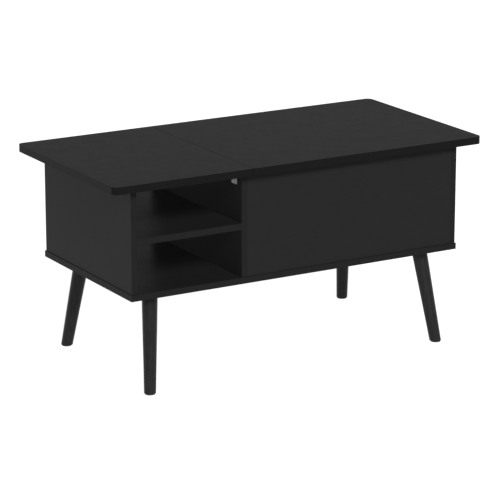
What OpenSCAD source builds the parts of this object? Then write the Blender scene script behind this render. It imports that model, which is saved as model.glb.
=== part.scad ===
// Lift top coffee table: a low cabinet on four splayed round legs. The left part of
// the top is fixed over two bays, open at the front and at the back. The right part lifts
// up and forward on a pair of parallelogram hinges and opens a hidden storage box.
// Axes: +X right, +Y back, +Z up. The origin is on the floor under the top's middle.

/* [Top] */
// Length of the whole top, left to right
top_w = 1000; // [980:1:1040]
// Depth of the top, front to back
top_d = 500; // [490:1:520]
// Thickness of the two top boards
top_t = 18; // [16:1:22]
// Height of the top surface above the floor
total_h = 510; // [505:1:530]
// Radius of the top's four outer corners in plan
top_corner_r = 15; // [6:1:22]
// Middle of the gap between the fixed and the lifting board, from the table's middle
top_split_x = -140; // [-160:1:-120]
// Width of the gap between the two top boards
top_gap = 1; // [1:0.5:3]

/* [Cabinet] */
// Outside width of the cabinet over its two side panels
cabinet_w = 889; // [870:1:900]
// How far the top stands out in front of the side panels
front_overhang = 27.5; // [20:0.5:40]
// How far the top stands out behind the side panels
back_overhang = 33; // [25:0.5:40]
// Thickness of the cabinet boards
board_t = 15; // [15:1:16]
// Height of the cabinet's underside above the floor
underside_h = 230; // [215:1:240]
// Height of the shelf's upper face above the floor
shelf_h = 375; // [360:1:385]
// How far the bottom board stands out at each side, at the front and at the back
bottom_lips = [2, 3, 4]; // [0:1:6]
// Gap that the bumpers fill between the box's rim and the lifting board
rim_gap = 2; // [1.5:0.5:3]

/* [Legs] */
// Distance of the leg axes from the table's middle at the cabinet's underside
leg_head = [372.5, 171]; // [150:0.5:400]
// Distance of the leg axes from the table's middle at the floor
leg_foot = [397.5, 214.5]; // [190:0.5:420]
// Place of the middle of the four legs, front to back
legs_y = -3; // [-6:1:3]
// Diameter of a leg at the cabinet's underside
leg_head_d = 37.5; // [34:0.5:42]
// Diameter of a leg at the floor
leg_foot_d = 28; // [24:0.5:32]
// Thickness of the glide under each leg
glide_t = 3; // [2:0.5:4]

/* [Lift hinges] */
// Distance between the two pivots of each arm
arm_len = 220; // [215:1:225]
// Angle of the closed arms above the horizontal, pointing back
arm_rest = 15; // [14:0.5:17]
// Width of the flat steel arms
arm_w = 18; // [16:1:20]
// Thickness of the flat steel arms
arm_t = 3; // [2.5:0.5:3.5]
// Front base pivot, from the table's middle
front_pivot_y = -140; // [-145:1:-130]
// Depth of the front upper pivot below the lifting board
pivot_drop = 14; // [13:0.5:16]
// The rear pivot of each pair, back and down from the front one
pivot_step = [55, -23]; // [-30:1:60]
// Radius of the pivot pins
pin_r = 4; // [3.5:0.5:4]
// Running clearance between a pin and its arm, on the radius
run_gap = 0.05; // [0.03:0.01:0.1]
// Length of the short crank that the spring pulls on
crank_len = 40; // [36:1:42]
// Direction of the closed crank, from +Y towards +Z
crank_angle = 220; // [215:1:225]
// Distance between the spring's two posts with the table closed
spring_span = 240; // [235:1:245]
// Outer radius of the spring's coil
spring_r = 6; // [5:0.5:7]

/* [Hidden] */
$fn = 48;

black_board = [0.13, 0.13, 0.135];
black_leg = [0.1, 0.1, 0.1];
steel = [0.7, 0.7, 0.72];
beech = [0.8, 0.65, 0.45];
fit = 0.05;                    // clearance on the radius of fixed fasteners
eps = 0.01;

// Levels and faces of the cabinet
floor_z = underside_h + board_t;
slab_z = total_h - top_t;
rim_z = slab_z - rim_gap;
shelf_z = shelf_h - board_t;
side_x = cabinet_w / 2;
inner_x = side_x - board_t;
divider_x = top_split_x - 0.5; // right face of the divider
divider_left = divider_x - board_t;
front_y = front_overhang - top_d / 2;
back_y = top_d / 2 - back_overhang;
back_in = back_y - board_t;

// Holes and fasteners
hole_inset = 50;               // from a board's front or back edge to its first screw
screw_r = 3;
screw_head = [5, 3];           // radius and depth of a panel screw's head
screw_len = 50;
dowel_r = 4;
dowel_len = 30;
dowel_depth = 10;              // how deep a dowel goes into a face
cam_r = 7.4;
cam_h = 12;
cam_inset = 34;                // from a board's end to the middle of its cam
cam_bolt_r = 3;
cam_bolt_depth = 10;
cam_neck = 8;                  // length of the thin part before a cam bolt's head
cam_head = [2, 4];             // start before the cam's middle, and length of that head
bolt_r = 4;                    // leg hanger bolt
insert_r = 6;
insert_h = 12;
bolt_depth = 35;
bracket = [22, 28, 2];         // width, leg length and thickness of a corner bracket
small_screw = [1.75, 12];      // radius and length of the small wood screws
small_head = [3.6, 2];

// Lift hinge, layers counted inwards from the panel's face
plate_t = 2.5;
washer_t = 0.8;
arm_u = 3.6;
pin_head = [7, 1.5];
base_head_u = arm_u + arm_t + 0.3;
rail_u = arm_u + arm_t + 1.0;
rail_flange = 25;
spring_u = 17;
post_r = 3;
wire_r = 1;
lobe_r = 11;

// Pivots in the side view, as [y, z]
function polar2(a, r) = [r * cos(a), r * sin(a)];
reach = polar2(arm_rest, arm_len);
top_front = [front_pivot_y + reach[0], slab_z - pivot_drop];
base_front = top_front - reach;
base_rear = base_front + pivot_step;
top_rear = top_front + pivot_step;
crank_end = base_rear + polar2(crank_angle, crank_len);
spring_anchor = crank_end + [spring_span, 0];
base_pivots = [base_front, base_rear];
top_pivots = [top_front, top_rear];
base_screws = [
    base_front + [-25, 4], [base_front[0] - 20, crank_end[1]],
    [base_rear[0] + 85, crank_end[1]], [base_rear[0] + 145, crank_end[1]],
    [base_rear[0] + 190, crank_end[1]]
];
rail_y = [top_front[0] - 130, top_rear[0] + 35];
rail_screws_y = [rail_y[0] + 15, rail_y[0] + 60, rail_y[0] + 105, rail_y[1] - 15];

// Places of the repeated fasteners
edge_ys = [front_y + hole_inset, (front_y + back_y) / 2, back_y - hole_inset];
side_mid = side_x - board_t / 2;
divider_mid = divider_x - board_t / 2;
rim_mids = [front_y + board_t / 2, back_y - board_t / 2];
rim_screw_inset = 100;
rim_screw_xs = [divider_x + rim_screw_inset, inner_x - rim_screw_inset];
dowel_inset = 90;
dowel_ys = [front_y + dowel_inset, back_y - dowel_inset];
shelf_cam_inset = 60;
shelf_cam_ys = [front_y + shelf_cam_inset, back_y - shelf_cam_inset];
shelf_mid_z = shelf_z + board_t / 2;
shelf_dowel_shift = 15;         // forward of the shelf's middle, clear of the hinge's screws
shelf_dowel_y = (front_y + back_y) / 2 - shelf_dowel_shift;
rim_cam_rise = 200;             // above the bottom board
rim_dowel_rise = 70;
rim_cam_z = floor_z + rim_cam_rise;
rim_dowel_z = floor_z + rim_dowel_rise;
leg_signs = [[-1, -1], [1, -1], [-1, 1], [1, 1]];
bracket_inset = 31.5;
bracket_ys = [front_y + bracket_inset, back_y - bracket_inset];

// ---------- helpers ----------

// A box from its lowest corner to its highest corner
module block(low, high) {
    translate(low) cube(high - low);
}

// Extrudes a shape drawn as [y, z] along +X, from x0
module side_plate(x0, t) {
    translate([x0, 0, 0]) rotate([90, 0, 90]) linear_extrude(t) children();
}

module along_x(p, len, r) {
    translate(p) rotate([0, 90, 0]) cylinder(h = len, r = r);
}

module along_y(p, len, r) {
    translate(p) rotate([-90, 0, 0]) cylinder(h = len, r = r);
}

module along_z(p, len, r) {
    translate(p) cylinder(h = len, r = r);
}

// A flat bar of width w with a round eye at each end
module bar2d(p, q, w, eye) {
    d = q - p;
    translate(p) rotate(atan2(d[1], d[0])) translate([0, -w / 2]) square([norm(d), w]);
    for (c = [p, q]) translate(c) circle(r = eye);
}

// Puts one hinge's parts, made inwards from x = 0, on the divider or on the right panel
module at_left() {
    translate([divider_x, 0, 0]) children();
}

module at_right() {
    translate([inner_x, 0, 0]) mirror([1, 0, 0]) children();
}

module both_hinges() {
    at_left() children();
    at_right() children();
}

// Cuts the panel screws' holes, and makes the screws with gap = 0
module panel_screw(x, y, gap) {
    along_z([x, y, underside_h], screw_len, screw_r + gap);
    along_z([x, y, underside_h - eps * sign(gap)], screw_head[1] + gap, screw_head[0] + gap);
}

module all_panel_screws(gap) {
    for (x = [-side_mid, divider_mid, side_mid], y = edge_ys) panel_screw(x, y, gap);
    for (x = rim_screw_xs, y = rim_mids) panel_screw(x, y, gap);
}

module all_dowels(gap) {
    for (x = [-side_mid, divider_mid], y = dowel_ys)
        along_z([x, y, slab_z + dowel_depth - dowel_len - gap],
                dowel_len + 2 * gap, dowel_r + gap);
    for (x = [-inner_x - dowel_depth, divider_left + dowel_depth - dowel_len])
        along_x([x - gap, shelf_dowel_y, shelf_mid_z], dowel_len + 2 * gap, dowel_r + gap);
    for (x = [divider_x - dowel_depth, inner_x + dowel_depth - dowel_len], y = rim_mids)
        along_x([x - gap, y, rim_dowel_z], dowel_len + 2 * gap, dowel_r + gap);
}

// One cam bolt along +X: thread in the face at x = 0, shank, neck and head
module cam_bolt(gap) {
    shank = cam_inset - cam_neck;
    along_x([-cam_bolt_depth - gap, 0, 0], cam_bolt_depth + shank + gap, cam_bolt_r + gap);
    along_x([shank, 0, 0], cam_neck, cam_bolt_r - 1 + gap);
    along_x([cam_inset - cam_head[0], 0, 0], cam_head[1] + gap, cam_bolt_r + gap);
}

// Puts children at each cam bolt: origin on the face it is screwed into, +X into the board
module at_cam_bolts() {
    for (y = shelf_cam_ys) {
        translate([-inner_x, y, shelf_mid_z]) children();
        translate([divider_left, y, shelf_mid_z]) mirror([1, 0, 0]) children();
    }
    for (side = [0, 1]) {
        turn = [side == 0 ? 90 : -90, 0, 0];
        translate([divider_x, rim_mids[side], rim_cam_z]) rotate(turn) children();
        translate([inner_x, rim_mids[side], rim_cam_z]) mirror([1, 0, 0]) rotate(turn) children();
    }
}

// The cam's pocket opens on the board's hidden face, below the shelf or inside the box
module cam_body(gap) {
    along_z([cam_inset, 0, -board_t / 2 - eps * sign(gap)], cam_h + gap, cam_r + gap);
}

module leg_place(s) {
    translate([s[0] * leg_head[0], legs_y + s[1] * leg_head[1], underside_h]) children();
}

// ---------- boards ----------

// Plan of a top board from x0 to x1, with round corners at the outer end only
module top_plan(x0, x1) {
    r = top_corner_r;
    outer = abs(x0) > abs(x1) ? x0 : x1;
    inner = abs(x0) > abs(x1) ? x1 : x0;
    s = sign(outer);
    translate([min(inner, outer - s * r), -top_d / 2]) square([abs(outer - inner) - r, top_d]);
    translate([min(inner, outer), r - top_d / 2]) square([abs(outer - inner), top_d - 2 * r]);
    for (k = [-1, 1]) translate([outer - s * r, k * (top_d / 2 - r)]) circle(r = r, $fn = 64);
}

module fixed_top() {
    color(black_board) difference() {
        translate([0, 0, slab_z]) linear_extrude(top_t) top_plan(-top_w / 2, top_split_x - top_gap / 2);
        all_dowels(fit);
        corner_screws(fit);
    }
}

module lift_top_board() {
    color(black_board) difference() {
        translate([0, 0, slab_z]) linear_extrude(top_t) top_plan(top_split_x + top_gap / 2, top_w / 2);
        rail_screws(fit);
    }
}

module side_panel(s, height) {
    difference() {
        block([s < 0 ? -side_x : inner_x, front_y, floor_z], [s < 0 ? -inner_x : side_x, back_y, height]);
        all_panel_screws(fit);
        all_dowels(fit);
        at_cam_bolts() cam_bolt(fit);
        corner_screws(fit);
        plate_screws(fit);
    }
}

module left_side_panel() {
    color(black_board) side_panel(-1, slab_z);
}

module right_side_panel() {
    color(black_board) side_panel(1, rim_z);
}

module divider_panel() {
    color(black_board) difference() {
        block([divider_left, front_y, floor_z], [divider_x, back_y, slab_z]);
        all_panel_screws(fit);
        all_dowels(fit);
        at_cam_bolts() cam_bolt(fit);
        corner_screws(fit);
        plate_screws(fit);
    }
}

// The box's front or back, between the divider and the right side panel
module rim_panel(y0) {
    difference() {
        block([divider_x, y0, floor_z], [inner_x, y0 + board_t, rim_z]);
        all_panel_screws(fit);
        all_dowels(fit);
        at_cam_bolts() {
            cam_bolt(fit + 0.5);
            cam_body(fit);
        }
    }
}

module front_panel() {
    color(black_board) rim_panel(front_y);
}

module back_panel() {
    color(black_board) rim_panel(back_in);
}

module shelf_board() {
    color(black_board) difference() {
        block([-inner_x, front_y, shelf_z], [divider_left, back_y, shelf_h]);
        all_dowels(fit);
        at_cam_bolts() {
            cam_bolt(fit + 0.5);
            cam_body(fit);
        }
    }
}

module bottom_panel() {
    color(black_board) difference() {
        block([-side_x - bottom_lips[0], front_y - bottom_lips[1], underside_h],
              [side_x + bottom_lips[0], back_y + bottom_lips[2], floor_z]);
        all_panel_screws(fit);
        for (s = leg_signs) leg_place(s) along_z([0, 0, -eps], insert_h + fit, insert_r + fit);
    }
}

// ---------- legs ----------

// A round tapered leg on a leaning axis, cut level at the top and above its glide
module leg(s) {
    lean = [s[0] * (leg_foot[0] - leg_head[0]), s[1] * (leg_foot[1] - leg_head[1])];
    tilt = atan2(norm(lean), underside_h);
    axis_len = norm([norm(lean), underside_h]);
    spare = 12;
    taper = (leg_head_d - leg_foot_d) / 2 / axis_len;
    difference() {
        intersection() {
            leg_place(s) rotate([0, 0, atan2(lean[1], lean[0])]) rotate([0, 180 - tilt, 0])
                translate([0, 0, -spare])
                    cylinder(h = axis_len + 2 * spare, r1 = leg_head_d / 2 + spare * taper,
                             r2 = leg_foot_d / 2 - spare * taper, $fn = 96);
            leg_place(s) translate([-60, -60, -underside_h + glide_t])
                cube([120, 120, underside_h - glide_t]);
        }
        leg_place(s) along_z([0, 0, -bolt_depth - fit], bolt_depth + 1, bolt_r + fit);
    }
}

module front_left_leg() {
    color(black_leg) leg(leg_signs[0]);
}

module front_right_leg() {
    color(black_leg) leg(leg_signs[1]);
}

module rear_left_leg() {
    color(black_leg) leg(leg_signs[2]);
}

module rear_right_leg() {
    color(black_leg) leg(leg_signs[3]);
}

module leg_hanger_bolts() {
    color(steel) for (s = leg_signs) leg_place(s)
        along_z([0, 0, -bolt_depth], bolt_depth + insert_h - 1, bolt_r);
}

module leg_threaded_inserts() {
    color(steel) for (s = leg_signs) leg_place(s) difference() {
        along_z([0, 0, 0], insert_h, insert_r);
        along_z([0, 0, -eps], insert_h + 2 * eps, bolt_r + fit);
    }
}

module leg_glides() {
    color("dimgray") for (s = leg_signs)
        along_z([s[0] * leg_foot[0], legs_y + s[1] * leg_foot[1], 0], glide_t, leg_foot_d / 2 - 1.5);
}

// ---------- fasteners of the cabinet ----------

module panel_screws() {
    color(steel) all_panel_screws(0);
}

module dowels() {
    color(beech) all_dowels(0);
}

module cam_bolts() {
    color(steel) at_cam_bolts() cam_bolt(0);
}

module cam_locks() {
    color(steel) at_cam_bolts() difference() {
        cam_body(0);
        cam_bolt(fit + 0.5);
    }
}

// Puts children at each bracket: origin in the corner under the fixed top, +X into the bay
module at_brackets() {
    for (y = bracket_ys) {
        translate([-inner_x, y, slab_z]) children();
        translate([divider_left, y, slab_z]) mirror([1, 0, 0]) children();
    }
}

// Two screws into the panel and two into the top; gap cuts their pilot holes
module corner_screws(gap) {
    at_brackets() for (y = [-bracket[0] / 4, bracket[0] / 4]) {
        along_x([-small_screw[1], y, -bracket[1] * 0.6], small_screw[1] + bracket[2], small_screw[0] + gap);
        along_z([bracket[1] * 0.6, y, -bracket[2]], small_screw[1] + bracket[2], small_screw[0] + gap);
    }
}

module top_corner_brackets() {
    w = bracket[0];
    leg_l = bracket[1];
    t = bracket[2];
    color(steel) difference() {
        at_brackets() {
            block([0, -w / 2, -leg_l], [t, w / 2, 0]);
            block([0, -w / 2, -t], [leg_l, w / 2, 0]);
        }
        corner_screws(fit);
    }
}

module corner_bracket_screws() {
    color(steel) {
        corner_screws(0);
        at_brackets() for (y = [-bracket[0] / 4, bracket[0] / 4]) {
            along_x([bracket[2], y, -bracket[1] * 0.6], small_head[1], small_head[0]);
            along_z([bracket[1] * 0.6, y, -bracket[2] - small_head[1]], small_head[1], small_head[0]);
        }
    }
}

module lid_bumpers() {
    bumper_r = 5;
    bumper_t = rim_gap - 0.3;
    color("gray") {
        for (y = dowel_ys) along_z([side_mid, y, rim_z], bumper_t, bumper_r);
        for (x = rim_screw_xs, y = rim_mids) along_z([x, y, rim_z], bumper_t, bumper_r);
    }
}

// ---------- lift hinges, cabinet side ----------

module plate_screws(gap) {
    both_hinges() for (p = base_screws)
        along_x([-small_screw[1], p[0], p[1]], small_screw[1] + plate_t, small_screw[0] + gap);
}

module base_plate() {
    difference() {
        side_plate(0, plate_t) {
            bar2d(base_screws[1], spring_anchor, 2 * lobe_r - 2, lobe_r);
            for (c = concat(base_pivots, [base_screws[0]])) translate(c) circle(r = lobe_r);
            polygon([
                base_screws[1] - [lobe_r, 0], base_screws[0] - [lobe_r, 0], base_screws[0] + [0, lobe_r],
                base_front + [0, lobe_r], base_rear + polar2(50, lobe_r),
                [base_rear[0] + lobe_r, crank_end[1]]
            ]);
        }
        for (p = base_pivots) along_x([-eps, p[0], p[1]], plate_t + 1, pin_r + fit);
        along_x([-eps, spring_anchor[0], spring_anchor[1]], plate_t + 1, post_r + fit);
        for (p = base_screws) along_x([-eps, p[0], p[1]], plate_t + 1, small_screw[0] + fit);
    }
}

module left_base_plate() {
    color(steel) at_left() base_plate();
}

module right_base_plate() {
    color(steel) at_right() base_plate();
}

module base_plate_screws() {
    color(steel) {
        plate_screws(0);
        both_hinges() for (p = base_screws) along_x([plate_t, p[0], p[1]], small_head[1], small_head[0]);
    }
}

module base_pivot_pins() {
    color(steel) both_hinges() for (p = base_pivots) {
        along_x([0, p[0], p[1]], base_head_u, pin_r);
        along_x([base_head_u, p[0], p[1]], pin_head[1], pin_head[0]);
    }
}

module base_pivot_washers() {
    color("white") both_hinges() for (p = base_pivots) difference() {
        along_x([plate_t, p[0], p[1]], washer_t, lobe_r - 2);
        along_x([plate_t - eps, p[0], p[1]], washer_t + 2 * eps, pin_r + fit);
    }
}

module spring_anchor_posts() {
    color(steel) both_hinges() spring_post(0, spring_anchor);
}

// A post with a groove for the spring's hook, from x = u0 past the spring's middle
module spring_post(u0, p) {
    along_x([u0, p[0], p[1]], spring_u + 3 - u0, post_r);
    along_x([spring_u + 3, p[0], p[1]], 1.5, post_r + 1.5);
}

// ---------- lift hinges, arms ----------

module arm_bores(points) {
    for (p = points) along_x([arm_u - eps, p[0], p[1]], arm_t + 2 * eps, pin_r + run_gap);
}

module main_arm() {
    difference() {
        side_plate(arm_u, arm_t) {
            bar2d(base_rear, top_rear, arm_w, lobe_r);
            bar2d(base_rear, crank_end, arm_w - 3, lobe_r - 2);
        }
        arm_bores([base_rear, top_rear]);
        along_x([arm_u - eps, crank_end[0], crank_end[1]], arm_t + 2 * eps, post_r + fit);
    }
}

module front_arm() {
    difference() {
        side_plate(arm_u, arm_t) bar2d(base_front, top_front, arm_w, lobe_r);
        arm_bores([base_front, top_front]);
    }
}

module left_main_arm() {
    color(steel) at_left() main_arm();
}

module right_main_arm() {
    color(steel) at_right() main_arm();
}

module left_front_arm() {
    color(steel) at_left() front_arm();
}

module right_front_arm() {
    color(steel) at_right() front_arm();
}

module left_crank_post() {
    color(steel) at_left() spring_post(arm_u, crank_end);
}

module right_crank_post() {
    color(steel) at_right() spring_post(arm_u, crank_end);
}

// ---------- springs ----------

// The coil as a closed tube with a hook ring round each post
module spring() {
    ring_r = post_r + wire_r + 0.2;
    hook = 16;
    coil = spring_span - 2 * hook;
    translate([spring_u, crank_end[0], crank_end[1]]) {
        difference() {
            along_y([0, hook, 0], coil, spring_r);
            along_y([0, hook + 2 * wire_r, 0], coil - 4 * wire_r, spring_r - 2 * wire_r);
        }
        for (y = [ring_r, spring_span - hook - 1]) along_y([0, y, 0], hook - ring_r + 1, wire_r);
        for (y = [0, spring_span]) translate([0, y, 0]) rotate([0, 90, 0])
            rotate_extrude() translate([ring_r, 0]) circle(r = wire_r, $fn = 24);
    }
}

module left_spring() {
    color(steel) at_left() spring();
}

module right_spring() {
    color(steel) at_right() spring();
}

// ---------- lift hinges, under the lifting board ----------

module rail_screws(gap) {
    both_hinges() for (y = rail_screws_y)
        along_z([rail_u + rail_flange * 0.6, y, slab_z - plate_t], small_screw[1] + plate_t,
                small_screw[0] + gap);
}

module top_rail() {
    difference() {
        union() {
            side_plate(rail_u, plate_t) {
                for (p = top_pivots) translate(p) circle(r = lobe_r);
                polygon([
                    [rail_y[0], slab_z], [rail_y[0], slab_z - 12], top_front - [lobe_r, 0],
                    top_rear - [lobe_r * 0.8, lobe_r * 0.6], top_rear + [lobe_r, 0],
                    [rail_y[1], slab_z - 12], [rail_y[1], slab_z]
                ]);
            }
            block([rail_u, rail_y[0], slab_z - plate_t], [rail_u + rail_flange, rail_y[1], slab_z]);
        }
        for (p = top_pivots) along_x([rail_u - eps, p[0], p[1]], plate_t + 2 * eps, pin_r + fit);
        for (y = rail_screws_y)
            along_z([rail_u + rail_flange * 0.6, y, slab_z - plate_t - eps], plate_t + 1,
                    small_screw[0] + fit);
    }
}

module left_top_rail() {
    color(steel) at_left() top_rail();
}

module right_top_rail() {
    color(steel) at_right() top_rail();
}

module top_rail_screws() {
    color(steel) {
        rail_screws(0);
        both_hinges() for (y = rail_screws_y)
            along_z([rail_u + rail_flange * 0.6, y, slab_z - plate_t - small_head[1]], small_head[1],
                    small_head[0]);
    }
}

module top_pivot_pins() {
    head_u = arm_u - 0.3 - pin_head[1];
    color(steel) both_hinges() for (p = top_pivots) {
        along_x([head_u, p[0], p[1]], pin_head[1], pin_head[0]);
        along_x([head_u, p[0], p[1]], rail_u + plate_t + 0.8 - head_u, pin_r);
    }
}

module top_pivot_washers() {
    washer_u = arm_u + arm_t + 0.3;
    color("white") both_hinges() for (p = top_pivots) difference() {
        along_x([washer_u, p[0], p[1]], rail_u - washer_u, lobe_r - 2);
        along_x([washer_u - eps, p[0], p[1]], rail_u - washer_u + 2 * eps, pin_r + fit);
    }
}

fixed_top();
lift_top_board();
left_side_panel();
right_side_panel();
divider_panel();
front_panel();
back_panel();
bottom_panel();
shelf_board();
front_left_leg();
front_right_leg();
rear_left_leg();
rear_right_leg();
leg_hanger_bolts();
leg_threaded_inserts();
leg_glides();
panel_screws();
dowels();
cam_bolts();
cam_locks();
top_corner_brackets();
corner_bracket_screws();
left_base_plate();
right_base_plate();
base_plate_screws();
base_pivot_pins();
base_pivot_washers();
left_main_arm();
right_main_arm();
left_front_arm();
right_front_arm();
left_crank_post();
right_crank_post();
spring_anchor_posts();
left_spring();
right_spring();
left_top_rail();
right_top_rail();
top_rail_screws();
top_pivot_pins();
top_pivot_washers();
lid_bumpers();
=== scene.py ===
"""The looks of the lift top coffee table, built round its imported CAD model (metres, +Z up)."""
import math
import random

import bmesh
import bpy
from mathutils import Matrix, Vector


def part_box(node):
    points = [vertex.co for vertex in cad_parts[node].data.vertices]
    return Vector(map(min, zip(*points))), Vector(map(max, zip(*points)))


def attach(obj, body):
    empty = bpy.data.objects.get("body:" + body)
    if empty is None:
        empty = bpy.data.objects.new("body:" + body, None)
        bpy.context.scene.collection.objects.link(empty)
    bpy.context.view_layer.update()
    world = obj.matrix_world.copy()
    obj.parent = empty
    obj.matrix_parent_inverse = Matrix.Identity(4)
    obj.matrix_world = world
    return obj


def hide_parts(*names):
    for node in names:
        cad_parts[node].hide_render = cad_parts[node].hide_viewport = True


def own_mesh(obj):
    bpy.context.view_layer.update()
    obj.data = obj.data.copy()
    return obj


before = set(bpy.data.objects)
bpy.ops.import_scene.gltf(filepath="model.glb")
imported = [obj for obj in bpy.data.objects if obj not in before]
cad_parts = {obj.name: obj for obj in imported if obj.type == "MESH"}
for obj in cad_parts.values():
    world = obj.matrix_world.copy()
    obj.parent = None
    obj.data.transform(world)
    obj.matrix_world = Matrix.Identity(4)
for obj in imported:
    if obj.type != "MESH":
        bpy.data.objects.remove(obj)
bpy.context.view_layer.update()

MM = 0.001

# ---------- camera, lights and stage ----------

VIEW_AZIMUTH = math.radians(-30.41)    # the camera stands in front, to the left
VIEW_ELEVATION = math.radians(15.66)
VIEW_DISTANCE = 6.319
VIEW_AIM = Vector((-0.0045, -0.0032, 0.2372))
LENS = 187.73
FLOOR_GAP = 0.2 * MM                   # keeps the floor clear of the feet


def look_direction(azimuth, elevation):
    """Unit vector from the object towards a viewer or a lamp; azimuth 0 is the front."""
    flat = math.cos(elevation)
    return Vector((math.sin(azimuth) * flat, -math.cos(azimuth) * flat, math.sin(elevation)))


def add_camera():
    data = bpy.data.cameras.new("camera")
    data.lens = LENS
    data.clip_end = 100
    camera = bpy.data.objects.new("camera", data)
    back = look_direction(VIEW_AZIMUTH, VIEW_ELEVATION)
    camera.location = VIEW_AIM + back * VIEW_DISTANCE
    camera.rotation_mode = "QUATERNION"
    camera.rotation_quaternion = (-back).to_track_quat("-Z", "Y")
    bpy.context.collection.objects.link(camera)
    bpy.context.scene.camera = camera


def add_sun(name, azimuth, elevation, strength, softness, mirrored=True):
    """A distant soft lamp; softness is the angle it spans in the sky. A lamp that isn't mirrored
    lights the boards without glaring back from them."""
    data = bpy.data.lights.new(name, "SUN")
    data.energy = strength
    data.angle = math.radians(softness)
    lamp = bpy.data.objects.new(name, data)
    back = look_direction(math.radians(azimuth), math.radians(elevation))
    lamp.rotation_mode = "QUATERNION"
    lamp.rotation_quaternion = (-back).to_track_quat("-Z", "Y")
    lamp.visible_glossy = mirrored
    bpy.context.collection.objects.link(lamp)


def set_world(front, back, seen):
    """A grey sky, brighter behind the table than in front; the camera sees it white."""
    world = bpy.data.worlds.new("studio")
    world.use_nodes = True
    nodes, links = world.node_tree.nodes, world.node_tree.links
    nodes.clear()
    out = nodes.new("ShaderNodeOutputWorld")
    mix = nodes.new("ShaderNodeMixShader")
    path = nodes.new("ShaderNodeLightPath")
    links.new(path.outputs["Is Camera Ray"], mix.inputs[0])
    skies = []
    for socket, value in ((1, 1.0), (2, seen)):
        sky = nodes.new("ShaderNodeBackground")
        sky.inputs["Color"].default_value = (value, value, value, 1)
        links.new(sky.outputs[0], mix.inputs[socket])
        skies.append(sky)
    direction = nodes.new("ShaderNodeTexCoord").outputs["Generated"]
    split = nodes.new("ShaderNodeSeparateXYZ")
    links.new(direction, split.inputs[0])
    fade = nodes.new("ShaderNodeMapRange")
    fade.inputs["From Min"].default_value = -0.4
    fade.inputs["From Max"].default_value = 0.9
    fade.inputs["To Min"].default_value = front
    fade.inputs["To Max"].default_value = back
    links.new(split.outputs["Y"], fade.inputs["Value"])
    links.new(fade.outputs["Result"], skies[0].inputs["Strength"])
    links.new(mix.outputs[0], out.inputs["Surface"])
    bpy.context.scene.world = world


def add_floor(colour, glow):
    """A plain floor, pale by light of its own, so that the table casts almost no shadow on it."""
    half = 30.0
    corners = [(-half, -half, 0), (half, -half, 0), (half, half, 0), (-half, half, 0)]
    mesh = bpy.data.meshes.new("floor")
    mesh.from_pydata(corners, [], [(0, 1, 2, 3)])
    floor = bpy.data.objects.new("floor", mesh)
    floor.location.z = -FLOOR_GAP
    bpy.context.collection.objects.link(floor)
    material = bpy.data.materials.new("studio_floor")
    material.use_nodes = True
    shader = material.node_tree.nodes["Principled BSDF"]
    shader.inputs["Base Color"].default_value = (*colour, 1)
    shader.inputs["Roughness"].default_value = 0.9
    shader.inputs["Specular IOR Level"].default_value = 0.0
    shader.inputs["Emission Color"].default_value = (1, 1, 1, 1)
    shader.inputs["Emission Strength"].default_value = glow
    mesh.materials.append(material)


# ---------- material building blocks ----------

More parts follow.
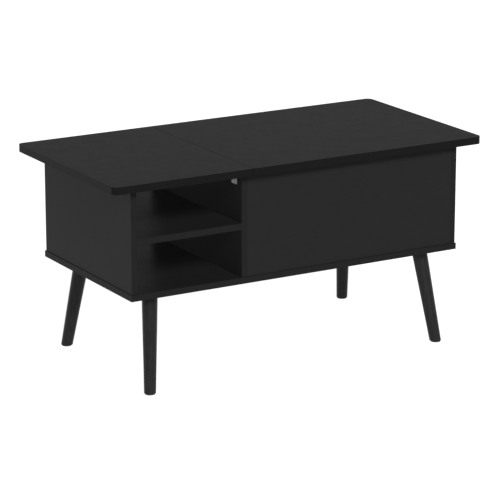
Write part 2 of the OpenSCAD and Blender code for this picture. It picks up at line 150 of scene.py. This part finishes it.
class Recipe:
    """A material's node tree with short helpers for procedural inputs."""

    def __init__(self, name):
        self.material = bpy.data.materials.new(name)
        self.material.use_nodes = True
        self.nodes = self.material.node_tree.nodes
        self.links = self.material.node_tree.links
        self.shader = self.nodes["Principled BSDF"]
        self.coords = self.nodes.new("ShaderNodeTexCoord").outputs["Object"]

    def mapped(self, scale):
        node = self.nodes.new("ShaderNodeMapping")
        node.inputs["Scale"].default_value = scale
        self.links.new(self.coords, node.inputs["Vector"])
        return node.outputs["Vector"]

    def noise(self, scale, detail=4.0, rough=0.55, stretch=(1, 1, 1), distort=0.0):
        node = self.nodes.new("ShaderNodeTexNoise")
        node.inputs["Scale"].default_value = scale
        node.inputs["Detail"].default_value = detail
        node.inputs["Roughness"].default_value = rough
        node.inputs["Distortion"].default_value = distort
        self.links.new(self.mapped(stretch), node.inputs["Vector"])
        return node.outputs["Fac"]

    def speckle(self, scale, stretch=(1, 1, 1)):
        node = self.nodes.new("ShaderNodeTexVoronoi")
        node.inputs["Scale"].default_value = scale
        self.links.new(self.mapped(stretch), node.inputs["Vector"])
        return node.outputs["Distance"]

    def banding(self, thickness_axis):
        """1 on a board's narrow edges and 0 on its two faces."""
        split = self.nodes.new("ShaderNodeSeparateXYZ")
        facing = self.nodes.new("ShaderNodeTexCoord").outputs["Normal"]
        self.links.new(facing, split.inputs[0])
        across = self.math("ABSOLUTE", split.outputs[thickness_axis], 0.0)
        return self.ramp(across, 1.0, 0.0, 0.55, 0.85)

    def ramp(self, value, low, high, start=0.3, end=0.7):
        """Maps a 0..1 value to low..high between start and end."""
        node = self.nodes.new("ShaderNodeMapRange")
        node.inputs["From Min"].default_value = start
        node.inputs["From Max"].default_value = end
        node.inputs["To Min"].default_value = low
        node.inputs["To Max"].default_value = high
        self.links.new(value, node.inputs["Value"])
        return node.outputs["Result"]

    def math(self, operation, a, b):
        node = self.nodes.new("ShaderNodeMath")
        node.operation = operation
        for socket, value in zip(node.inputs, (a, b)):
            if isinstance(value, (int, float)):
                socket.default_value = value
            else:
                self.links.new(value, socket)
        return node.outputs[0]

    def blend(self, factor, colour_a, colour_b):
        node = self.nodes.new("ShaderNodeMix")
        node.data_type = "RGBA"
        self.links.new(factor, node.inputs[0])
        for socket, value in ((node.inputs[6], colour_a), (node.inputs[7], colour_b)):
            if isinstance(value, tuple):
                socket.default_value = (*value, 1)
            else:
                self.links.new(value, socket)
        return node.outputs[2]

    def bump(self, height, distance, strength=1.0, below=None):
        node = self.nodes.new("ShaderNodeBump")
        node.inputs["Strength"].default_value = strength
        node.inputs["Distance"].default_value = distance
        self.links.new(height, node.inputs["Height"])
        if below is not None:
            self.links.new(below, node.inputs["Normal"])
        return node.outputs["Normal"]

    def finish(self, colour, roughness, normal=None, **fixed):
        for name, value in (("Base Color", colour), ("Roughness", roughness), ("Normal", normal)):
            socket = self.shader.inputs[name]
            if isinstance(value, tuple):
                socket.default_value = (*value, 1)
            elif isinstance(value, float):
                socket.default_value = value
            elif value is not None:
                self.links.new(value, socket)
        for name, value in fixed.items():
            self.shader.inputs[name.replace("_", " ")].default_value = value
        return self.material


def grey(value):
    return (value, value, value * 1.02)


# ---------- materials ----------

LAMINATE_SHADE = 0.0105
BOARD_SHEEN = 0.025
EDGE_WEAR = 0.2


def laminate(name, along, thickness, shade, banding, worn=0.0):
    """Black melamine: fine pores pressed along the board, faint blotches, soft sheen.
    along and thickness are the board's axes, 0 to 2; banding darkens the glued edge strips
    and worn lightens and smooths, for rubbed corners."""
    r = Recipe(name)
    stretch = [1.0, 1.0, 1.0]
    stretch[along] = 0.045
    pores = r.noise(900, 3, 0.6, tuple(stretch))
    blotch = r.noise(9, 3, 0.5)
    smudge = r.noise(26, 5, 0.6, distort=0.6)
    dust = r.noise(2600, 2, 0.5)
    grain = r.blend(r.ramp(pores, 0, 1, 0.35, 0.62), grey(shade * 0.9), grey(shade * 1.08))
    face = r.blend(r.ramp(blotch, 0, 0.35), grain, grey(shade * (1.08 + worn)))
    strip = r.blend(smudge, grey(shade * banding * 0.92), grey(shade * banding * 1.06))
    colour = r.blend(r.banding(thickness), face, strip)
    gloss = r.math("ADD", r.ramp(smudge, 0.33 - worn * 0.1, 0.37 - worn * 0.1),
                   r.ramp(pores, 0.03, -0.02, 0.35, 0.62))
    normal = r.bump(dust, 0.02 * MM, 0.5)
    normal = r.bump(pores, 0.05 * MM, 0.6, normal)
    return r.finish(colour, gloss, normal, Specular_IOR_Level=BOARD_SHEEN)


def lacquered_wood(name, shade):
    """Black satin lacquer over turned wood: the grain telegraphs faintly along the leg."""
    r = Recipe(name)
    grain = r.noise(240, 4, 0.6, (1, 1, 0.05), 0.3)
    blotch = r.noise(14, 3, 0.5)
    peel = r.noise(700, 2, 0.5)
    colour = r.blend(r.ramp(grain, 0, 1, 0.35, 0.65), grey(shade * 0.8), grey(shade * 1.2))
    gloss = r.ramp(blotch, 0.27, 0.36)
    normal = r.bump(peel, 0.03 * MM, 0.4)
    normal = r.bump(grain, 0.06 * MM, 0.5, normal)
    return r.finish(colour, gloss, normal, Specular_IOR_Level=0.06, Coat_Weight=0.06, Coat_Roughness=0.24)


def plated_steel(name, tint, rough, brushed=(1, 1, 1)):
    """Zinc plated steel: faint spangle, fine scratches, uneven polish."""
    r = Recipe(name)
    spangle = r.noise(260, 3, 0.5)
    scratch = r.noise(1400, 4, 0.7, brushed)
    film = r.noise(60, 4, 0.6)
    colour = r.blend(r.ramp(film, 0, 1), tuple(c * 0.82 for c in tint), tint)
    gloss = r.math("ADD", r.ramp(spangle, rough * 0.8, rough * 1.2), r.ramp(scratch, -0.04, 0.06))
    normal = r.bump(scratch, 0.02 * MM, 0.4)
    return r.finish(colour, gloss, normal, Metallic=1.0)


def powder_coat(name, shade):
    """Black powder coated steel with a fine orange peel."""
    r = Recipe(name)
    peel = r.noise(900, 3, 0.55)
    film = r.noise(40, 4, 0.6)
    rub = r.noise(120, 5, 0.65)
    colour = r.blend(r.ramp(rub, 0, 1, 0.45, 0.75), grey(shade), grey(shade * 1.5))
    gloss = r.ramp(film, 0.38, 0.5)
    normal = r.bump(peel, 0.06 * MM, 0.6)
    return r.finish(colour, gloss, normal, Specular_IOR_Level=0.25)


def bare_wood(name, tint):
    """Raw beech: short dark flecks in a pale ground."""
    r = Recipe(name)
    grain = r.noise(300, 5, 0.6, (0.1, 1, 1))
    fleck = r.speckle(700, (0.25, 1, 1))
    ground = r.blend(r.ramp(grain, 0, 1), tuple(c * 0.8 for c in tint), tint)
    colour = r.blend(r.ramp(fleck, 0.6, 0, 0.05, 0.2), ground, tuple(c * 0.5 for c in tint))
    normal = r.bump(grain, 0.08 * MM, 0.6)
    return r.finish(colour, r.ramp(grain, 0.6, 0.75), normal)


def moulded_plastic(name, tint, rough=0.45):
    r = Recipe(name)
    grain = r.noise(1100, 3, 0.6)
    film = r.noise(50, 3, 0.5)
    colour = r.blend(r.ramp(film, 0, 1), tuple(c * 0.88 for c in tint), tint)
    normal = r.bump(grain, 0.03 * MM, 0.5)
    return r.finish(colour, r.ramp(film, rough, rough + 0.12), normal, Specular_IOR_Level=0.45)


def clear_rubber(name):
    r = Recipe(name)
    film = r.noise(90, 3, 0.5)
    colour = r.blend(r.ramp(film, 0, 1), (0.32, 0.32, 0.3), (0.42, 0.42, 0.4))
    normal = r.bump(r.noise(700, 2, 0.5), 0.02 * MM, 0.4)
    return r.finish(colour, r.ramp(film, 0.3, 0.42), normal, Transmission_Weight=0.4, IOR=1.45)


X, Y, Z = 0, 1, 2
TOP_BANDING = 0.5
BOX_BANDING = 0.85
tops = laminate("laminate_top", X, Z, LAMINATE_SHADE, TOP_BANDING)
tops_edge = laminate("laminate_top_edge", X, Z, LAMINATE_SHADE, TOP_BANDING, EDGE_WEAR)
boards_flat = laminate("laminate_flat", X, Z, LAMINATE_SHADE, BOX_BANDING)
boards_flat_edge = laminate("laminate_flat_edge", X, Z, LAMINATE_SHADE, BOX_BANDING, EDGE_WEAR)
boards_front = laminate("laminate_front", X, Y, LAMINATE_SHADE, BOX_BANDING)
boards_front_edge = laminate("laminate_front_edge", X, Y, LAMINATE_SHADE, BOX_BANDING, EDGE_WEAR)
boards_side = laminate("laminate_side", Y, X, LAMINATE_SHADE, BOX_BANDING)
boards_side_edge = laminate("laminate_side_edge", Y, X, LAMINATE_SHADE, BOX_BANDING, EDGE_WEAR)
leg_finish = lacquered_wood("leg_lacquer", 0.011)
zinc = plated_steel("zinc_plate", (0.62, 0.62, 0.6), 0.3)
spring_wire = plated_steel("spring_wire", (0.6, 0.6, 0.58), 0.26, (0.2, 1, 1))
die_cast = plated_steel("die_cast_zinc", (0.5, 0.5, 0.51), 0.48)
black_steel = powder_coat("black_powder_coat", 0.016)
black_steel_edge = powder_coat("black_powder_coat_edge", 0.024)
beech = bare_wood("beech", (0.55, 0.38, 0.22))
black_plastic = moulded_plastic("black_plastic", grey(0.025))
nylon = moulded_plastic("white_nylon", (0.72, 0.72, 0.68), 0.35)
bumper_rubber = clear_rubber("bumper_rubber")


# ---------- finish of the CAD nodes ----------

def dress(node, materials, bevel=0.0, segments=2, angle=35):
    """Gives a CAD node its materials and rounds its sharp edges with a modifier.
    With two materials the second one goes on the rounded edges."""
    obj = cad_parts[node]
    obj.data.materials.clear()
    for material in materials:
        obj.data.materials.append(material)
    if not bevel:
        return
    weld = obj.modifiers.new("weld", "WELD")
    weld.merge_threshold = 0.01 * MM
    edge = obj.modifiers.new("rounded_edges", "BEVEL")
    edge.width = bevel * MM
    edge.segments = segments
    edge.limit_method = "ANGLE"
    edge.angle_limit = math.radians(angle)
    edge.use_clamp_overlap = True
    edge.material = len(materials) - 1
    even = obj.modifiers.new("even_shading", "WEIGHTED_NORMAL")
    even.keep_sharp = False


for name in ("fixed_top", "lift_top_board"):
    dress(name, (tops, tops_edge), 0.8, 3)
for name in ("bottom_panel", "shelf_board"):
    dress(name, (boards_flat, boards_flat_edge), 0.7)
for name in ("front_panel", "back_panel"):
    dress(name, (boards_front, boards_front_edge), 0.7)
for name in ("left_side_panel", "right_side_panel", "divider_panel"):
    dress(name, (boards_side, boards_side_edge), 0.7)
for name in ("front_left_leg", "front_right_leg", "rear_left_leg", "rear_right_leg"):
    dress(name, (leg_finish,), 1.0, 3)
for name in ("left_base_plate", "right_base_plate", "left_main_arm", "right_main_arm",
             "left_front_arm", "right_front_arm", "left_top_rail", "right_top_rail"):
    dress(name, (black_steel, black_steel_edge), 0.4)
for name in ("top_corner_brackets", "left_crank_post", "right_crank_post", "spring_anchor_posts",
             "leg_hanger_bolts", "leg_threaded_inserts", "cam_bolts"):
    dress(name, (zinc,), 0.25)
dress("dowels", (beech,), 0.8)
for name in ("base_pivot_washers", "top_pivot_washers"):
    dress(name, (nylon,), 0.15)


# ---------- mesh helpers ----------

def solids_of(node):
    """The separate solids of a CAD node, each as a list of points."""
    mesh = bmesh.new()
    mesh.from_mesh(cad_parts[node].data)
    bmesh.ops.remove_doubles(mesh, verts=mesh.verts, dist=0.001 * MM)
    left = set(mesh.verts)
    found = []
    while left:
        stack = [left.pop()]
        points = []
        while stack:
            vertex = stack.pop()
            points.append(vertex.co.copy())
            for edge in vertex.link_edges:
                other = edge.other_vert(vertex)
                if other in left:
                    left.remove(other)
                    stack.append(other)
        found.append(points)
    mesh.free()
    return sorted(found, key=lambda p: tuple(round(c, 5) for c in sum(p, Vector()) / len(p)))


def fastener_axis(points):
    """Of a headed fastener's points: the middle of the head's outer face, the way the head faces,
    the whole length, and the largest and smallest radius."""
    low = Vector(min(p[i] for p in points) for i in range(3))
    high = Vector(max(p[i] for p in points) for i in range(3))
    size = high - low
    along = min(range(3), key=lambda i: abs(size[i - 1] - size[i - 2]) - 1e-6 * size[i])
    middle = (low + high) / 2

    def reach(point):
        off = point - middle
        off[along] = 0
        return off.length

    top = max(reach(p) for p in points if p[along] > high[along] - 0.1 * MM)
    bottom = max(reach(p) for p in points if p[along] < low[along] + 0.1 * MM)
    facing = Vector((0, 0, 0))
    facing[along] = 1 if top >= bottom else -1
    face = middle.copy()
    face[along] = high[along] if top >= bottom else low[along]
    return face, facing, size[along], max(top, bottom), min(top, bottom)


def lathe(mesh, profile, around=32):
    """Adds a closed turned solid to a bmesh; profile is (radius, height) from axis to axis."""
    rings = []
    for radius, height in profile:
        if radius < 1e-7:
            rings.append([mesh.verts.new((0, 0, height))])
            continue
        rings.append([mesh.verts.new((radius * math.cos(t), radius * math.sin(t), height))
                      for t in (2 * math.pi * k / around for k in range(around))])
    for a, b in zip(rings, rings[1:]):
        for k in range(around):
            n = (k + 1) % around
            if len(a) == 1:
                mesh.faces.new((a[0], b[n], b[k]))
            elif len(b) == 1:
                mesh.faces.new((a[k], a[n], b[0]))
            else:
                mesh.faces.new((a[k], a[n], b[n], b[k]))


def arc(centre_r, centre_z, radius, start, end, steps):
    """Points of a round stretch of a profile, angles in degrees from the radial direction."""
    points = []
    for k in range(steps + 1):
        t = math.radians(start + (end - start) * k / steps)
        points.append((centre_r + radius * math.cos(t), centre_z + radius * math.sin(t)))
    return points


def piece_from(mesh, name, body, material, replaced=(), smooth=40):
    """Turns a bmesh into a named piece that rides on a body."""
    bmesh.ops.recalc_face_normals(mesh, faces=mesh.faces)
    data = bpy.data.meshes.new(name)
    mesh.to_mesh(data)
    mesh.free()
    data.materials.append(material)
    data.shade_smooth()
    obj = bpy.data.objects.new(name, data)
    bpy.context.collection.objects.link(obj)
    with_sharp = bmesh.new()
    with_sharp.from_mesh(data)
    for edge in with_sharp.edges:
        edge.smooth = edge.calc_face_angle(0) < math.radians(smooth)
    with_sharp.to_mesh(data)
    with_sharp.free()
    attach(obj, body)
    if replaced:
        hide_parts(*replaced)
    return obj


def copy_into(target, source, place):
    """Adds a copy of the bmesh source to target, moved by the matrix place."""
    made = {}
    for vertex in source.verts:
        made[vertex] = target.verts.new(place @ vertex.co)
    for face in source.faces:
        target.faces.new([made[v] for v in face.verts])


def standing_on(face, facing):
    """The matrix that takes a fastener made with its head's outer face at 0, facing +Z."""
    turn = Vector((0, 0, 1)).rotation_difference(facing).to_matrix().to_4x4()
    return Matrix.Translation(face) @ turn


# ---------- screws ----------

def threaded_shank(mesh, radius, start, end, pitch, around=14):
    """A shank from height start down to end with a helical thread and a pointed tip."""
    root = radius * 0.72
    tip = radius * 1.8
    steps = max(8, int((start - end) / pitch * 5))
    rings = []
    for j in range(steps + 1):
        height = start + (end - start) * j / steps
        taper = min(1.0, (height - end) / tip + 0.12)
        ring = []
        for k in range(around):
            angle = 2 * math.pi * k / around
            phase = (height / pitch + k / around) % 1.0
            crest = max(0.0, 1 - abs(phase - 0.5) * 4)
            if height > start - pitch:
                crest = 0.0
            r = (root + (radius - root) * crest) * taper
            ring.append(mesh.verts.new((r * math.cos(angle), r * math.sin(angle), height)))
        rings.append(ring)
    for a, b in zip(rings, rings[1:]):
        for k in range(around):
            n = (k + 1) % around
            mesh.faces.new((a[k], b[k], b[n], a[n]))
    mesh.faces.new(rings[0])
    mesh.faces.new(reversed(rings[-1]))


CUT_ABOVE = 0.3 * MM        # how far a recess cutter stands out of the head
RECESS_DEPTH = 0.7          # of the head's depth
CROSS_REACH = 0.55          # of the head's radius
HEX_REACH = 0.42


def cross_recess(mesh, radius, depth):
    """A tapered cross, used to cut a driver recess in a head at height 0."""
    arm = radius * 0.26
    narrowing = 0.55
    for turn in (0, 1):
        corners = []
        for height, scale in ((CUT_ABOVE, 1.0), (-depth, narrowing)):
            for sx, sy in ((-1, -1), (1, -1), (1, 1), (-1, 1)):
                p = [sx * radius * scale, sy * arm * scale]
                if turn:
                    p = [-p[1], p[0]]
                corners.append(mesh.verts.new((p[0], p[1], height)))
        top, bottom = corners[:4], corners[4:]
        mesh.faces.new(top)
        mesh.faces.new(reversed(bottom))
        for k in range(4):
            n = (k + 1) % 4
            mesh.faces.new((top[n], top[k], bottom[k], bottom[n]))


def hex_recess(mesh, radius, depth):
    """A straight six sided socket, used to cut a driver recess in a head at height 0."""
    rings = []
    for height in (CUT_ABOVE, -depth):
        rings.append([mesh.verts.new((radius * math.cos(t), radius * math.sin(t), height))
                      for t in (k * math.pi / 3 for k in range(6))])
    mesh.faces.new(rings[0])
    mesh.faces.new(reversed(rings[1]))
    for k in range(6):
        n = (k + 1) % 6
        mesh.faces.new((rings[0][n], rings[0][k], rings[1][k], rings[1][n]))


def cut(solid, cutter):
    """solid minus cutter, both bmeshes, as a new bmesh."""
    objects = []
    for mesh in (solid, cutter):
        bmesh.ops.recalc_face_normals(mesh, faces=mesh.faces)
        data = bpy.data.meshes.new("cut")
        mesh.to_mesh(data)
        mesh.free()
        obj = bpy.data.objects.new("cut", data)
        bpy.context.collection.objects.link(obj)
        objects.append(obj)
    boolean = objects[0].modifiers.new("cut", "BOOLEAN")
    boolean.operation = "DIFFERENCE"
    boolean.object = objects[1]
    boolean.solver = "EXACT"
    boolean.use_self = True
    bpy.context.view_layer.update()
    result = bmesh.new()
    result.from_object(objects[0], bpy.context.evaluated_depsgraph_get())
    for obj in objects:
        data = obj.data
        bpy.data.objects.remove(obj)
        bpy.data.meshes.remove(data)
    return result


def screw(length, head_radius, shank_radius, head_depth, recess, flush):
    """One screw, its head's outer face at 0. A flush head is flat, any other is domed."""
    head = bmesh.new()
    rim = min(0.35 * MM, head_depth * 0.3)
    dome = 0.0 if flush else head_depth * 0.45
    top = [(0, 0)]
    if not flush:
        top += [(head_radius * 0.45, -dome * 0.12), (head_radius * 0.75, -dome * 0.5)]
    top += [(head_radius - rim, -dome)] + arc(head_radius - rim, -dome - rim, rim, 90, 0, 4)[1:]
    top += [(head_radius, -head_depth), (shank_radius * 0.9, -head_depth), (0, -head_depth)]
    lathe(head, list(reversed(top)), 40)
    cutter = bmesh.new()
    if recess == "cross":
        cross_recess(cutter, head_radius * CROSS_REACH, head_depth * RECESS_DEPTH)
    else:
        hex_recess(cutter, head_radius * HEX_REACH, head_depth * RECESS_DEPTH)
    made = cut(head, cutter)
    threaded_shank(made, shank_radius, -head_depth + 0.05 * MM, -length, shank_radius * 0.9)
    return made


def screw_set(node, body, head_depth, recess, flush=False):
    """Replaces a node of plain screws with threaded ones that have driver recesses."""
    group = bmesh.new()
    rng = random.Random(node)
    model = None
    for points in solids_of(node):
        face, facing, length, big, small = fastener_axis(points)
        if model is None:
            model = screw(length, big, small, head_depth, recess, flush)
        turned = standing_on(face, facing) @ Matrix.Rotation(rng.uniform(0, math.pi), 4, "Z")
        copy_into(group, model, turned)
    model.free()
    return piece_from(group, node + "_threaded", body, zinc, (node,))


screw_set("corner_bracket_screws", "cabinet", 2 * MM, "cross")
screw_set("base_plate_screws", "cabinet", 2 * MM, "cross")
screw_set("top_rail_screws", "lift_top", 2 * MM, "cross")
screw_set("panel_screws", "cabinet", 3 * MM, "hex", flush=True)


# ---------- springs ----------

def tube_along(mesh, path, radius, around=10):
    """Sweeps a round wire along a list of points."""
    rings = []
    normal = None
    for i, point in enumerate(path):
        ahead = path[min(i + 1, len(path) - 1)] - path[max(i - 1, 0)]
        tangent = ahead.normalized()
        if normal is None:
            normal = tangent.orthogonal().normalized()
        normal = (normal - tangent * normal.dot(tangent)).normalized()
        side = tangent.cross(normal)
        rings.append([mesh.verts.new(point + (normal * math.cos(t) + side * math.sin(t)) * radius)
                      for t in (2 * math.pi * k / around for k in range(around))])
    for a, b in zip(rings, rings[1:]):
        for k in range(around):
            n = (k + 1) % around
            mesh.faces.new((a[k], b[k], b[n], a[n]))
    mesh.faces.new(rings[0])
    mesh.faces.new(reversed(rings[-1]))


WIRE = 1.0 * MM
HOOK_R = 4.2 * MM
HOOK_LENGTH = 16 * MM
HOOK_SWEEP = math.radians(290)
HOOK_POINTS = 20
COIL_PITCH = 3 * WIRE
COIL_STEPS = 16
LEAD_STEPS = 6


def spring_hook(middle, along, up, way):
    """A hook from its open end round its post and out to the coil; way is 1 at the crank, -1 at
    the anchor. along and up are its radii, lengthwise and in height."""
    begin = math.radians(200) if way > 0 else math.radians(-20)
    turns = [begin - way * HOOK_SWEEP * k / (HOOK_POINTS - 1) for k in range(HOOK_POINTS)]
    return [middle + Vector((0, along * math.cos(t), up * math.sin(t))) for t in turns]


def extension_spring(side, crank_y, anchor_y, keep):
    """A close coil between two hooks, in the place of the CAD spring. The hook on the crank is
    longer than it is high by the share the spring would be shortened with the lid open, so that it would
    still clear its post; nothing here shortens it."""
    node = side + "_spring"
    low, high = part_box(node)
    coil_r = (high.x - low.x) / 2 - WIRE
    middle_x, middle_z = (low.x + high.x) / 2, (low.z + high.z) / 2
    start, end = crank_y + HOOK_LENGTH, anchor_y - HOOK_LENGTH
    turns = int((end - start) / COIL_PITCH)
    first = spring_hook(Vector((middle_x, crank_y, middle_z)), HOOK_R / keep, HOOK_R, 1)
    last = spring_hook(Vector((middle_x, anchor_y, middle_z)), HOOK_R, HOOK_R, -1)
    path = list(first)
    for k in range(1, LEAD_STEPS):
        f = k / LEAD_STEPS
        path.append(Vector((middle_x, first[-1].y + (start - first[-1].y) * f,
                            first[-1].z + (middle_z - coil_r - first[-1].z) * f * f)))
    for k in range(turns * COIL_STEPS + 1):
        angle = -math.pi / 2 + 2 * math.pi * k / COIL_STEPS
        y = start + (end - start) * k / (turns * COIL_STEPS)
        path.append(Vector((middle_x + coil_r * math.cos(angle), y, middle_z + coil_r * math.sin(angle))))
    for k in range(1, LEAD_STEPS):
        f = k / LEAD_STEPS
        path.append(Vector((middle_x, end + (last[-1].y - end) * f,
                            middle_z - coil_r + (last[-1].z - middle_z + coil_r) * f * f)))
    path += reversed(last)
    mesh = bmesh.new()
    tube_along(mesh, path, WIRE)
    piece = piece_from(mesh, side + "_spring_coil", "cabinet", spring_wire, (node,), 60)
    return piece, middle_z


ARM_SWING = math.radians(100)
CRANK_LENGTH = 40 * MM
CRANK_ANGLE = math.radians(220)        # closed, from +Y towards +Z
for side in ("left", "right"):
    low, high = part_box(side + "_spring")
    crank_y = low.y + HOOK_R + WIRE
    anchor_y = high.y - HOOK_R - WIRE
    shortened = CRANK_LENGTH * (math.cos(CRANK_ANGLE + ARM_SWING) - math.cos(CRANK_ANGLE))
    keep = 1 - shortened / (anchor_y - crank_y)
    piece, level = extension_spring(side, crank_y, anchor_y, keep)
    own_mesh(piece)


# ---------- pivot pins, cams, glides and bumpers ----------

def turned_set(node, name, body, material, profile_of):
    """Replaces each solid of a node with a turned piece on the same axis."""
    group = bmesh.new()
    for points in solids_of(node):
        face, facing, length, big, small = fastener_axis(points)
        one = bmesh.new()
        lathe(one, profile_of(length, big, small))
        copy_into(group, one, standing_on(face, facing))
        one.free()
    return piece_from(group, name, body, material, (node,), 50)


def rivet_profile(length, big, small):
    """A rivet with a low domed head and a lightly peened far end, from the far end up."""
    head = 1.5 * MM
    edge = 0.3 * MM
    far = [(0, -length), (small - edge, -length), (small, -length + edge)]
    neck = [(small, -head), (big - edge * 0.5, -head), (big, -head + edge * 0.5), (big, -head * 0.55)]
    dome = [(big * f, -head * 0.55 * f ** 2.2) for f in (0.92, 0.8, 0.6, 0.35)]
    return far + neck + dome + [(0, 0)]


def bumper_profile(length, big, small):
    """A low round cushion, flat underneath."""
    angles = [math.radians(a) for a in range(0, 90, 12)]
    rows = [(big * math.cos(t), -length + length * math.sin(t)) for t in angles]
    return [(0, -length)] + rows + [(0, 0)]


def glide_profile(length, big, small):
    """A plastic glide with a rounded lower edge."""
    r = min(1.2 * MM, length * 0.5)
    lower = [(0, -length), (big - r, -length)] + arc(big - r, -length + r, r, -90, 0, 5)[1:]
    return lower + [(big, -0.2 * MM), (big - 0.2 * MM, 0), (0, 0)]


turned_set("base_pivot_pins", "base_pivot_rivets", "cabinet", zinc, rivet_profile)
turned_set("top_pivot_pins", "top_pivot_rivets", "lift_top", zinc, rivet_profile)
turned_set("lid_bumpers", "lid_bumper_domes", "cabinet", bumper_rubber, bumper_profile)
turned_set("leg_glides", "leg_glide_pads", "cabinet", black_plastic, glide_profile)


def cam_axis(points):
    """A cam's axis is its short side; its face is the side that is flush with the board."""
    low = Vector(min(p[i] for p in points) for i in range(3))
    high = Vector(max(p[i] for p in points) for i in range(3))
    size = high - low
    along = min(range(3), key=lambda i: size[i])
    facing = Vector((0, 0, 0))
    face = (low + high) / 2
    if along == Z:
        facing.z = -1
        face.z = low.z
    else:
        inwards = 1 if face.y < 0 else -1
        facing.y = inwards
        face.y = high.y if inwards > 0 else low.y
    return face, facing, size[along], max(size) / 2, 0


def cam_set():
    """Cam locks with a cross recess in the face that shows."""
    group = bmesh.new()
    for points in solids_of("cam_locks"):
        face, facing, length, big, _ = cam_axis(points)
        recess_r, recess_depth = big * 0.6, 2.5 * MM
        body = bmesh.new()
        edge = 0.5 * MM
        lathe(body, [(0, -length), (big, -length), (big, -edge), (big - edge, 0), (0, 0)], 36)
        cutter = bmesh.new()
        cross_recess(cutter, recess_r, recess_depth)
        made = cut(body, cutter)
        copy_into(group, made, standing_on(face, facing))
        made.free()
    return piece_from(group, "cam_lock_faces", "cabinet", die_cast, ("cam_locks",))


cam_set()


# ---------- scene ----------

add_camera()
set_world(front=0.2, back=0.4, seen=1.0)
add_floor(colour=(0.2, 0.2, 0.2), glow=0.95)
add_sun("key", azimuth=-10, elevation=34, strength=4.1, softness=18)
add_sun("fill", azimuth=-30, elevation=8, strength=1.2, softness=34, mirrored=False)
add_sun("rim", azimuth=-150, elevation=6, strength=1.4, softness=40)
bpy.context.scene.view_settings.view_transform = "Standard"
